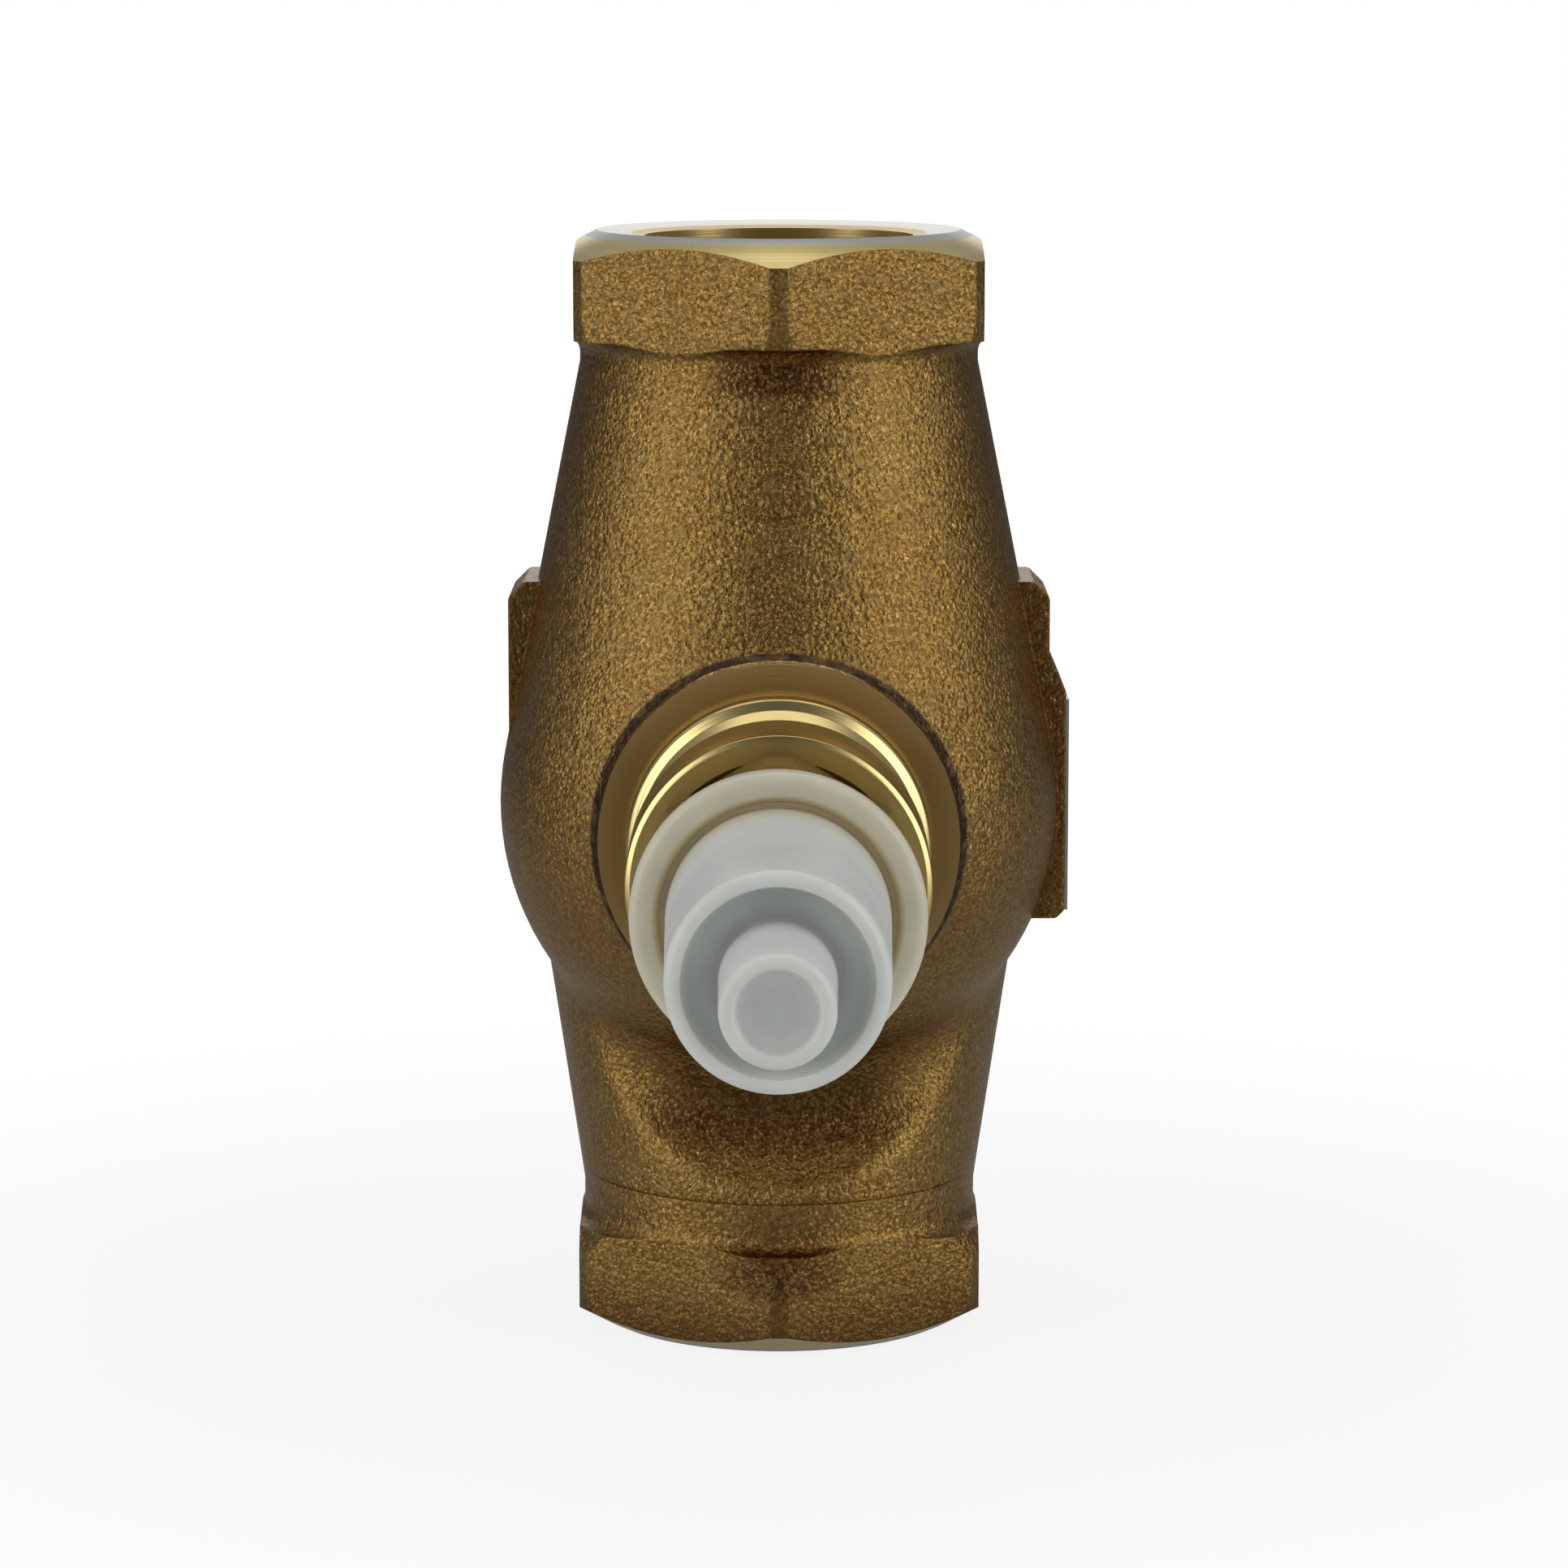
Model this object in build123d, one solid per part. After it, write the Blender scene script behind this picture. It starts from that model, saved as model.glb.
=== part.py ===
from build123d import *
import os
from math import asin, cos, pi, radians, sin, tan

# Two-way globe control valve with female threaded hexagon ends, a turned bonnet for a linear
# actuator and a push-on protective cap. Lengths are in millimetres.
# The flow axis is Z, with the origin at the centre of the lower end face.
# The bonnet axis points along -Y. Its distances are measured from the flow axis, towards the cap.

# Overall body
face_to_face = 137.0
bonnet_axis_height = 66.0
wall = 4.5
cut_past = 1.0

# Hexagon ends
hex_across_flats = 50.0
hex_height = 13.0
hex_corner_diameter = 56.5
end_face_diameter = 45.0
end_bevel_width = 1.45
end_bevel_drop = 0.7
end_chamfer_angle = 30.0
upper_corner_taper = 0.3
lower_corner_taper = 1.25
corner_taper_height = 2.7
corner_flare_radius = 2.0

# Ports
port_thread_diameter = 33.25
port_thread_length = 18.0
port_countersink_diameter = 36.5
port_countersink_depth = 0.75
port_duct_diameter = 35.0
port_duct_length = 3.0

# Body swellings
neck_diameter = 49.4
neck_length = 6.0
neck_overlap = 2.0
swelling_neck_diameter = 48.8
globe_diameter = 69.6
globe_forward = 4.0
lobe_diameter = 59.4
lobe_drop = 16.0
lobe_back = 6.0
lobe_fillet = 8.0
scoop_depth = 13.0
scoop_margin = 3.1
scoop_edge_radius = 4.0

# Bonnet boss of the body
boss_face_inset = 2.8
boss_diameter = 43.2
boss_fillet = 2.5
boss_root = 10.0
boss_inner_margin = 2.0
bonnet_thread_diameter = 33.0

# Side pads
pad_inset = 1.3
pad_width = 16.0
pad_rise = 28.0
pad_drop = 8.0
pad_top_slope = 2.0
pad_edge_radius = 0.8
plate_pad_step = 2.1
plate_pad_length = 28.5
plate_pad_slope = 5.0
type_plate_length = 26.5
type_plate_width = 15.0
type_plate_thickness = 0.4

# Partition between the two passages
web_thickness = 4.5
seat_wall_thickness = 6.0
seat_wall_half_height = 19.5
web_bend_radius = 4.0

# Seat ring
seat_bore_diameter = 22.0
seat_thread_diameter = 27.0
seat_flange_diameter = 31.0
seat_flange_thickness = 2.5
seat_lip_height = 0.7
seat_lip_width = 1.2

# Stem and plug
stroke = 20.0
seating_gap = 0.05
stem_diameter = 8.0
stem_end_diameter = 6.0
stem_clearance = 0.05
stem_chamfer = 0.5
disc_diameter = 25.2
disc_thickness = 3.0
holder_diameter = 26.0
holder_thickness = 5.0
holder_rim_width = 1.0
throttle_clearance = 0.4
throttle_length = 15.0
throttle_guide_length = 3.0
throttle_tip_diameter = 15.0
plug_nut_across_flats = 10.0
plug_nut_height = 5.0
stem_end_reach = 1.2
full_open_gap = 1.75

# Bonnet
gasket_thickness = 1.5
gasket_inset = 0.3
bonnet_flange_diameter = 36.2
bonnet_flange_thickness = 3.7
bonnet_flange_radius = 0.9
groove_diameter = 33.4
groove_width = 12.3
collar_diameter = 35.0
collar_length = 12.3
collar_chamfer = 0.4
spigot_length = 12.0
plug_recess_diameter = 28.0
packing_bore_diameter = 17.0
guide_bore_diameter = 14.0
gland_thread_diameter = 26.0
gland_countersink_diameter = 29.4

# Packing set
guide_flange_thickness = 1.0
guide_end_gap = 0.5
spring_height = 5.6
spring_wire_diameter = 1.1
spring_turns = 3.0
packing_fit = 0.1
adapter_height = 1.0
vee_height = 1.2
ring_pitch = 1.6
ring_count = 3
header_height = 2.6

# Gland nut
gland_spigot_length = 6.8
gland_bore_clearance = 0.4
gland_hex_across_flats = 28.5
gland_hex_corner_diameter = 31.2
gland_hex_length = 17.2
gland_hex_chamfer = 0.8
nose_diameter = 20.8
nose_length = 6.0
o_ring_section = 1.9
o_ring_groove_from_end = 2.3
wiper_diameter = 13.0
wiper_height = 2.6
wiper_lip = 0.9

# Stem end fittings
locknut_gap = 0.8
locknut_across_flats = 10.0
locknut_height = 2.4
button_diameter = 12.0
button_height = 4.0
button_groove_depth = 1.2
button_groove_height = 1.2

# Protective cap
cap_flange_diameter = 32.9
cap_flange_height = 2.7
cap_rim_width = 1.75
cap_web_thickness = 0.9
cap_barrel_diameter = 24.0
cap_nose_clearance = 0.1
cap_headroom = 0.8
cap_floor_thickness = 1.6
cap_end_rim_height = 2.4
cap_end_rim_width = 1.8
cap_floor_dish = 0.7
cap_post_diameter = 12.0
cap_post_length = 17.2
cap_post_wall = 1.5
cap_recess_diameter = 8.9
cap_recess_depth = 0.8
cap_edge_radius = 0.5

# Places that follow from the sizes
lobe_height = bonnet_axis_height - lobe_drop
swelling_end = hex_height + neck_length - neck_overlap
scoop_half_height = lobe_height - swelling_end - scoop_margin
scoop_radius = (scoop_half_height**2 + scoop_depth**2) / (2 * scoop_depth)
scoop_axis_reach = swelling_neck_diameter / 2 + scoop_radius - scoop_depth
pad_reach = globe_diameter / 2 - pad_inset
plate_pad_reach = pad_reach + plate_pad_step
boss_face = globe_forward + globe_diameter / 2 - boss_face_inset

# Places along the bonnet axis, from the flow axis outwards
seat_wall_back = -seat_wall_thickness
seat_lip = seat_flange_thickness + seat_lip_height
disc_face = seat_lip + seating_gap
holder_face = disc_face + disc_thickness
holder_back = holder_face + holder_thickness
throttle_end = disc_face - throttle_length
plug_nut_end = throttle_end - plug_nut_height
stem_inner_end = plug_nut_end - stem_end_reach
plug_recess_top = holder_back + stroke + full_open_gap
spigot_end = boss_face - spigot_length
bonnet_seat = boss_face + gasket_thickness
groove_start = bonnet_seat + bonnet_flange_thickness
collar_start = groove_start + groove_width
bonnet_end = collar_start + collar_length
gland_spigot_end = bonnet_end - gland_spigot_length
header_start = gland_spigot_end - header_height
rings_start = header_start - ring_count * ring_pitch
spring_end = rings_start - adapter_height
spring_start = spring_end - spring_height
packing_bore_bottom = spring_start - guide_flange_thickness
hex_end = bonnet_end + gland_hex_length
nose_end = hex_end + nose_length
locknut_start = nose_end + locknut_gap
button_start = locknut_start + locknut_height
button_end = button_start + button_height
cap_floor_inside = button_end + stroke + cap_headroom
cap_floor_outside = cap_floor_inside + cap_floor_thickness
cap_rim_end = cap_floor_outside + cap_end_rim_height
cap_post_end = cap_floor_outside + cap_post_length

# Shared radii
port_radius = port_thread_diameter / 2
stem_radius = stem_diameter / 2
stem_end_radius = stem_end_diameter / 2
stem_bore_radius = stem_radius + stem_clearance
packing_radius = packing_bore_diameter / 2 - packing_fit
gland_thread_radius = gland_thread_diameter / 2
nose_radius = nose_diameter / 2

globe_centre = Vector(0, -globe_forward, bonnet_axis_height)
lobe_centre = Vector(0, lobe_back, lobe_height)
bonnet_frame = Plane(origin=(0, 0, bonnet_axis_height), x_dir=(1, 0, 0), z_dir=(0, -1, 0)).location


def turned(outline):
    # a turned piece from (radius, distance) pairs, standing on the Z axis
    points = [(radius, 0, distance) for radius, distance in outline]
    return revolve(make_face(Polyline(points, close=True)), Axis.Z)


def on_bonnet(piece):
    return bonnet_frame * piece


def rod(radius, start, end):
    return Pos(0, 0, (start + end) / 2) * Cylinder(radius, end - start)


def hexagon(across_flats, start, end):
    # a prism with two corners on the local Y axis and two flats square to the local X axis
    outline = RegularPolygon(across_flats / 2, 6, major_radius=False, rotation=30)
    return Pos(0, 0, start) * extrude(outline, end - start)


def circles_at(piece, radius, distance):
    # the circular edges of a turned piece at one radius and one distance
    def matches(edge):
        place = edge.arc_center if edge.geom_type == GeomType.CIRCLE else None
        return place is not None and abs(edge.radius - radius) < 1e-4 and abs(place.Z - distance) < 1e-4
    return piece.edges().filter_by(matches)


def swelling(end_centre, end_radius, ball_centre, ball_radius):
    # a ball with a cone tangent to it, which ends tangent to a smaller ball at end_centre
    axis = end_centre - ball_centre
    lean = asin((ball_radius - end_radius) / axis.length)
    ball_edge = (ball_radius * cos(lean), 0, ball_radius * sin(lean))
    middle_angle = (lean - pi / 2) / 2
    ball_middle = (ball_radius * cos(middle_angle), 0, ball_radius * sin(middle_angle))
    cone_edge = (end_radius * cos(lean), 0, axis.length + end_radius * sin(lean))
    cone_tip = (0, 0, cone_edge[2])
    ball_bottom = (0, 0, -ball_radius)
    arc = ThreePointArc(ball_bottom, ball_middle, ball_edge)
    rest = Polyline(ball_edge, cone_edge, cone_tip, ball_bottom)
    solid = revolve(make_face([arc, rest]), Axis.Z)
    return Plane(origin=ball_centre, x_dir=(1, 0, 0), z_dir=axis.normalized()).location * solid


def hexagon_end(corner_taper):
    # a hexagon with a turned end and its neck, where the corners flare out of the neck, as the lower end
    corner = hex_corner_diameter / 2
    neck = neck_diameter / 2
    neck_end = hex_height + neck_length
    bevel_radius = end_face_diameter / 2 + end_bevel_width
    chamfer_end = end_bevel_drop + (corner - bevel_radius) * tan(radians(end_chamfer_angle))
    blank = turned([(0, 0), (end_face_diameter / 2, 0), (bevel_radius, end_bevel_drop),
                    (corner, chamfer_end), (corner, hex_height - corner_taper_height),
                    (corner - corner_taper, hex_height), (neck, hex_height), (neck, neck_end),
                    (0, neck_end)])
    blank = fillet(circles_at(blank, neck, hex_height), corner_flare_radius)
    return blank & hexagon(hex_across_flats, 0, neck_end)


def upside_down(piece):
    # turns a lower end over into the upper end
    return Pos(0, 0, face_to_face) * Rot(180, 0, 0) * piece


def side_pads():
    # the plain pad on both sides, then the thicker pad that carries the type plate
    half = pad_width / 2
    pad_top = bonnet_axis_height + pad_rise
    pad_bottom = bonnet_axis_height - pad_drop
    plain = Polyline([(-pad_reach, 0, pad_bottom), (-pad_reach, 0, pad_top - pad_top_slope),
                      (-pad_reach + pad_top_slope, 0, pad_top), (pad_reach - pad_top_slope, 0, pad_top),
                      (pad_reach, 0, pad_top - pad_top_slope), (pad_reach, 0, pad_bottom)], close=True)
    pads = extrude(make_face(plain), half, both=True)
    middle = bonnet_axis_height
    low = middle - plate_pad_length / 2
    high = middle + plate_pad_length / 2
    corner = plate_pad_step / 2
    thick = Polyline([(0, 0, low), (plate_pad_reach - corner, 0, low),
                      (plate_pad_reach, 0, low + corner), (plate_pad_reach, 0, high),
                      (pad_reach, 0, high + plate_pad_slope), (0, 0, high + plate_pad_slope)], close=True)
    pads += extrude(make_face(thick), half, both=True)
    outer = pads.edges().filter_by(Axis.Y).filter_by(lambda e: abs(e.center().X) > pad_reach - wall)
    return fillet(outer, pad_edge_radius)


def scoop(depth=0):
    # the dip under the globe, a cylinder across the front, or the same grown by a depth
    place = Pos(0, -scoop_axis_reach, lobe_height) * Rot(0, 90, 0)
    return place * Cylinder(scoop_radius + depth, 2 * globe_diameter)


def lower_swelling():
    lower_end = Vector(0, 0, swelling_end)
    whole = swelling(lower_end, swelling_neck_diameter / 2, lobe_centre, lobe_diameter / 2)
    scooped = whole - scoop()
    return fillet(new_edges(whole, scoop(), combined=scooped), scoop_edge_radius)


def outer_shape():
    upper_end = Vector(0, 0, face_to_face - swelling_end)
    upper = swelling(upper_end, swelling_neck_diameter / 2, globe_centre, globe_diameter / 2)
    lower = lower_swelling()
    body = upper + lower
    body = fillet(new_edges(upper, lower, combined=body), lobe_fillet)
    body = body + on_bonnet(rod(boss_diameter / 2, boss_root, boss_face))
    body = body - on_bonnet(rod(globe_diameter, boss_face, boss_face + globe_diameter / 2))

    def on_boss_side(edge):
        # the edges where the side of the boss leaves the swellings, without those in the boss face
        points = [edge @ 0.1, edge @ 0.5, edge @ 0.9]
        axis_point = Vector(0, 0, bonnet_axis_height)
        radii = [(Vector(point.X, 0, point.Z) - axis_point).length for point in points]
        on_side = all(abs(radius - boss_diameter / 2) < 0.05 for radius in radii)
        behind_face = -boss_face + 0.1 < edge.center().Y < -boss_root
        return on_side and behind_face and edge.geom_type != GeomType.LINE

    body = fillet(body.edges().filter_by(on_boss_side), boss_fillet)
    body = body + side_pads()
    return body + hexagon_end(lower_corner_taper) + upside_down(hexagon_end(upper_corner_taper))


def partition():
    # the S-shaped wall that carries the seat, seen along X and drawn as (Y, height) pairs
    bottom = bonnet_axis_height - seat_wall_half_height
    top = bonnet_axis_height + seat_wall_half_height
    reach = globe_diameter
    back = seat_wall_thickness
    outline = Polyline([(0, -reach, bottom - web_thickness), (0, back, bottom - web_thickness),
                        (0, back, top), (0, reach, top), (0, reach, top + web_thickness),
                        (0, 0, top + web_thickness), (0, 0, bottom), (0, -reach, bottom)], close=True)
    wall_solid = extrude(make_face(outline), globe_diameter / 2, both=True)
    bends = wall_solid.edges().filter_by(Axis.X)
    bends = bends.filter_by(lambda edge: -cut_past < edge.center().Y < back + cut_past)
    return fillet(bends, web_bend_radius)


def chamber_side():
    # all that lies on the bonnet's side of the lower bend of the partition
    reach = globe_diameter
    low = bonnet_axis_height - seat_wall_half_height - web_thickness / 2
    back = seat_wall_thickness / 2
    return Pos(0, back - reach / 2, low + reach / 2) * Box(reach, reach, reach)


def passages():
    # the hollow inside of the body, on both sides of the partition
    duct = port_duct_diameter / 2
    duct_end = port_thread_length + port_duct_length
    hollow = swelling(Vector(0, 0, face_to_face - duct_end), duct, globe_centre, globe_diameter / 2 - wall)
    lobe_hollow = swelling(Vector(0, 0, duct_end), duct, lobe_centre, lobe_diameter / 2 - wall)
    hollow += lobe_hollow - scoop(wall) - chamber_side()
    room = Box(globe_diameter, 2 * globe_diameter, face_to_face - 2 * duct_end)
    hollow &= Pos(0, 0, face_to_face / 2) * room
    hollow -= on_bonnet(rod(boss_diameter / 2 + boss_inner_margin, spigot_end, boss_face + wall))
    hollow -= partition()
    hollow += port_bore() + upside_down(port_bore())
    hollow += on_bonnet(rod(bonnet_thread_diameter / 2, spigot_end - cut_past, boss_face + cut_past))
    hollow += on_bonnet(rod(seat_thread_diameter / 2, seat_wall_back - cut_past, cut_past))
    return hollow


def port_bore():
    sink = port_countersink_diameter / 2
    duct = port_duct_diameter / 2
    return turned([(0, 0), (sink, 0), (port_radius, port_countersink_depth),
                   (port_radius, port_thread_length), (duct, port_thread_length),
                   (duct, port_thread_length + port_duct_length),
                   (0, port_thread_length + port_duct_length)])


def valve_body():
    return outer_shape() - passages()


def type_plate():
    length = type_plate_length
    place = Pos(plate_pad_reach + type_plate_thickness / 2, 0, bonnet_axis_height)
    return place * Box(type_plate_thickness, type_plate_width, length)


def seat_ring():
    bore = seat_bore_diameter / 2
    thread = seat_thread_diameter / 2
    flange = seat_flange_diameter / 2
    lip = bore + seat_lip_width
    return turned([(bore, seat_wall_back), (thread, seat_wall_back), (thread, 0), (flange, 0),
                   (flange, seat_flange_thickness), (lip + seat_lip_height, seat_flange_thickness),
                   (lip, seat_lip), (bore, seat_lip)])


def throttle_plug():
    # a guide land, then a curve that opens the flow slowly as the plug lifts
    root = seat_bore_diameter / 2 - throttle_clearance
    tip = throttle_tip_diameter / 2
    land = disc_face - throttle_guide_length
    curve = Spline((root, 0, land), (tip, 0, throttle_end), tangents=((0, 0, -1), (-0.5, 0, -1)))
    rest = Polyline((tip, 0, throttle_end), (stem_end_radius, 0, throttle_end),
                    (stem_end_radius, 0, disc_face), (root, 0, disc_face), (root, 0, land))
    return revolve(make_face([curve, rest]), Axis.Z)


def seat_disc():
    return turned([(stem_end_radius, disc_face), (disc_diameter / 2, disc_face),
                   (disc_diameter / 2, holder_face), (stem_end_radius, holder_face)])


def disc_holder():
    outer = holder_diameter / 2
    slope = holder_rim_width
    return turned([(stem_end_radius, holder_face), (outer, holder_face),
                   (outer, holder_back - 2 * slope), (outer - 2 * slope, holder_back),
                   (stem_end_radius, holder_back)])


def plug_nut():
    nut = hexagon(plug_nut_across_flats, plug_nut_end, throttle_end)
    return nut - rod(stem_end_radius, plug_nut_end, throttle_end)


def stem():
    end = stem_end_radius
    return turned([(0, stem_inner_end), (end - stem_chamfer, stem_inner_end),
                   (end, stem_inner_end + stem_chamfer), (end, holder_back), (stem_radius, holder_back),
                   (stem_radius, locknut_start), (end, locknut_start),
                   (end, button_end - stem_chamfer), (end - stem_chamfer, button_end), (0, button_end)])


def stem_locknut():
    nut = hexagon(locknut_across_flats, locknut_start, button_start)
    return nut - rod(stem_end_radius, locknut_start, button_start)


def stem_button():
    outer = button_diameter / 2
    groove = outer - button_groove_depth
    low = button_start + (button_height - button_groove_height) / 2
    high = low + button_groove_height
    return turned([(stem_end_radius, button_start), (outer, button_start), (outer, low), (groove, low),
                   (groove, high), (outer, high), (outer, button_end - stem_chamfer),
                   (outer - stem_chamfer, button_end), (stem_end_radius, button_end)])


def bonnet_gasket():
    inner = bonnet_thread_diameter / 2
    outer = bonnet_flange_diameter / 2 - gasket_inset
    return turned([(inner, boss_face), (outer, boss_face), (outer, bonnet_seat), (inner, bonnet_seat)])


def bonnet():
    thread = bonnet_thread_diameter / 2
    flange = bonnet_flange_diameter / 2
    groove = groove_diameter / 2
    collar = collar_diameter / 2
    recess = plug_recess_diameter / 2
    guide = guide_bore_diameter / 2
    packing = packing_bore_diameter / 2
    sink = gland_countersink_diameter / 2
    sink_depth = sink - gland_thread_radius
    shell = turned([(recess, spigot_end), (thread, spigot_end), (thread, bonnet_seat),
                    (flange, bonnet_seat), (flange, groove_start), (groove, groove_start),
                    (groove, collar_start), (collar, collar_start),
                    (collar, bonnet_end - collar_chamfer), (collar - collar_chamfer, bonnet_end),
                    (sink, bonnet_end), (gland_thread_radius, bonnet_end - sink_depth),
                    (gland_thread_radius, gland_spigot_end), (packing, gland_spigot_end),
                    (packing, packing_bore_bottom), (guide, packing_bore_bottom),
                    (guide, plug_recess_top), (recess, plug_recess_top)])
    rounded = circles_at(shell, flange, bonnet_seat) + circles_at(shell, flange, groove_start)
    return fillet(rounded, bonnet_flange_radius)


def guide_bush():
    guide = guide_bore_diameter / 2
    bottom = plug_recess_top + guide_end_gap
    return turned([(stem_bore_radius, bottom), (guide, bottom), (guide, packing_bore_bottom),
                   (packing_radius, packing_bore_bottom), (packing_radius, spring_start),
                   (stem_bore_radius, spring_start)])


def packing_spring():
    # a helix between its two end faces, with half a wire of room at each end
    wire = spring_wire_diameter / 2
    coil_radius = (stem_bore_radius + packing_radius) / 2
    rise = spring_height - spring_wire_diameter
    path = Helix(rise / spring_turns, rise, coil_radius)
    section = Plane(origin=path @ 0, z_dir=path % 0) * Circle(wire)
    return Pos(0, 0, spring_start + wire) * sweep(section, path=path, is_frenet=True)


def vee(start, height):
    # a ring with a ridge on top and the matching groove below
    middle = (stem_bore_radius + packing_radius) / 2
    return turned([(stem_bore_radius, start), (middle, start + vee_height), (packing_radius, start),
                   (packing_radius, start + height), (middle, start + height + vee_height),
                   (stem_bore_radius, start + height)])


def packing_adapter():
    middle = (stem_bore_radius + packing_radius) / 2
    return turned([(stem_bore_radius, spring_end), (packing_radius, spring_end),
                   (packing_radius, rings_start), (middle, rings_start + vee_height),
                   (stem_bore_radius, rings_start)])


def packing_header():
    middle = (stem_bore_radius + packing_radius) / 2
    return turned([(stem_bore_radius, header_start), (middle, header_start + vee_height),
                   (packing_radius, header_start), (packing_radius, gland_spigot_end),
                   (stem_bore_radius, gland_spigot_end)])


def o_ring_groove_start():
    return gland_spigot_end + o_ring_groove_from_end


def gland_o_ring():
    section = o_ring_section / 2
    centre = Pos(0, 0, o_ring_groove_start() + section)
    return centre * Torus(gland_thread_radius - section, section)


def gland_nut():
    bore = stem_radius + gland_bore_clearance
    wiper = wiper_diameter / 2
    corner = gland_hex_corner_diameter / 2
    groove = gland_thread_radius - o_ring_section
    groove_low = o_ring_groove_start()
    groove_high = groove_low + o_ring_section
    chamfer = gland_hex_chamfer
    blank = turned([(bore, gland_spigot_end), (gland_thread_radius, gland_spigot_end),
                    (gland_thread_radius, groove_low), (groove, groove_low),
                    (groove, groove_high), (gland_thread_radius, groove_high),
                    (gland_thread_radius, bonnet_end), (corner, bonnet_end),
                    (corner, hex_end - chamfer / 2), (corner - chamfer, hex_end),
                    (nose_radius, hex_end), (nose_radius, nose_end - chamfer),
                    (nose_radius - chamfer, nose_end), (wiper, nose_end),
                    (wiper, nose_end - wiper_height), (bore, nose_end - wiper_height)])
    flats = hexagon(gland_hex_across_flats, bonnet_end, hex_end)
    flats += rod(gland_thread_radius, gland_spigot_end, bonnet_end) + rod(nose_radius, hex_end, nose_end)
    return blank & flats


def wiper_ring():
    low = nose_end - wiper_height
    return turned([(stem_bore_radius, low), (wiper_diameter / 2, low), (wiper_diameter / 2, nose_end),
                   (stem_bore_radius + wiper_lip, nose_end), (stem_bore_radius, nose_end - wiper_lip)])


def protective_cap():
    barrel = cap_barrel_diameter / 2
    inside = nose_radius + cap_nose_clearance
    flange = cap_flange_diameter / 2
    rim = flange - cap_rim_width
    end_rim = barrel - cap_end_rim_width
    post = cap_post_diameter / 2
    recess = cap_recess_diameter / 2
    web_end = hex_end + cap_web_thickness
    flange_end = hex_end + cap_flange_height
    post_floor = cap_floor_outside - cap_floor_dish
    post_inside_end = cap_post_end - cap_recess_depth - cap_post_wall
    shell = turned([(inside, hex_end), (flange, hex_end), (flange, flange_end), (rim, flange_end),
                    (rim, web_end), (barrel, web_end), (barrel, cap_rim_end), (end_rim, cap_rim_end),
                    (end_rim, cap_floor_outside), (post, post_floor), (post, cap_post_end),
                    (recess, cap_post_end), (recess, cap_post_end - cap_recess_depth),
                    (0, cap_post_end - cap_recess_depth), (0, post_inside_end),
                    (post - cap_post_wall, post_inside_end),
                    (post - cap_post_wall, cap_floor_inside), (inside, cap_floor_inside)])
    soft = circles_at(shell, flange, flange_end) + circles_at(shell, rim, flange_end)
    soft += circles_at(shell, barrel, cap_rim_end) + circles_at(shell, end_rim, cap_rim_end)
    soft += circles_at(shell, post, cap_post_end)
    return fillet(soft, cap_edge_radius)


os.makedirs("parts", exist_ok=True)

pieces = {
    "valve_body": valve_body(),
    "type_plate": type_plate(),
}

turned_pieces = {
    "seat_ring": seat_ring(),
    "throttle_plug": throttle_plug(),
    "seat_disc": seat_disc(),
    "disc_holder": disc_holder(),
    "plug_nut": plug_nut(),
    "stem": stem(),
    "stem_locknut": stem_locknut(),
    "stem_button": stem_button(),
    "bonnet_gasket": bonnet_gasket(),
    "bonnet": bonnet(),
    "guide_bush": guide_bush(),
    "packing_spring": packing_spring(),
    "packing_adapter": packing_adapter(),
    "packing_header": packing_header(),
    "gland_nut": gland_nut(),
    "gland_o_ring": gland_o_ring(),
    "wiper_ring": wiper_ring(),
    "protective_cap": protective_cap(),
}
for number in range(ring_count):
    turned_pieces[f"packing_ring_{number + 1}"] = vee(rings_start + number * ring_pitch, ring_pitch)
for name, piece in turned_pieces.items():
    pieces[name] = on_bonnet(piece)

for name, piece in pieces.items():
    export_step(piece, f"parts/{name}.step")
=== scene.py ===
import bpy
import math
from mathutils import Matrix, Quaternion, Vector


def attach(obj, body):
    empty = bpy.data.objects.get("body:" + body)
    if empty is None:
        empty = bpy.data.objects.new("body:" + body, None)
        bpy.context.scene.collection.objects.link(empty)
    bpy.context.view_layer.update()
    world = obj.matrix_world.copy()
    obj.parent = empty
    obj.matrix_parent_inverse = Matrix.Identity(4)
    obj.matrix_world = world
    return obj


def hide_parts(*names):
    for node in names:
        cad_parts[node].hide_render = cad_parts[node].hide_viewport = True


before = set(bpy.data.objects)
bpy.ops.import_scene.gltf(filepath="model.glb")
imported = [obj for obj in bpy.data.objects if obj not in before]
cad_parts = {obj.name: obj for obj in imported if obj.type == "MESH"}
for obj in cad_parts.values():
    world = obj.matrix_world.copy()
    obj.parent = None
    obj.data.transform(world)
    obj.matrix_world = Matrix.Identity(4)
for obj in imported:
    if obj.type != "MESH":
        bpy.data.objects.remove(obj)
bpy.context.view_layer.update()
print("frame loaded")

bodyLength = 0.137    # face to face, up the flow axis
axisHeight = 0.066    # the bonnet axis above the lower end face
mergeReach = 0.000002
placeSlack = 0.00001
mmPerMetre = 1000
copySmoothAngle = 25


def deselectAll():
    if bpy.context.object and bpy.context.object.mode != "OBJECT":
        bpy.ops.object.mode_set(mode="OBJECT")
    bpy.ops.object.select_all(action="DESELECT")


def pick(piece):
    deselectAll()
    piece.select_set(True)
    bpy.context.view_layer.objects.active = piece


def rename(piece, name):
    piece.name = name
    piece.data.name = name


def smoothByAngle(piece, degrees):
    pick(piece)
    bpy.ops.object.shade_smooth_by_angle(angle=math.radians(degrees))


def settle(piece):
    # puts the piece's place into its mesh and leaves the object at the origin
    pick(piece)
    bpy.ops.object.transform_apply(location=True, rotation=True, scale=True)


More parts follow.
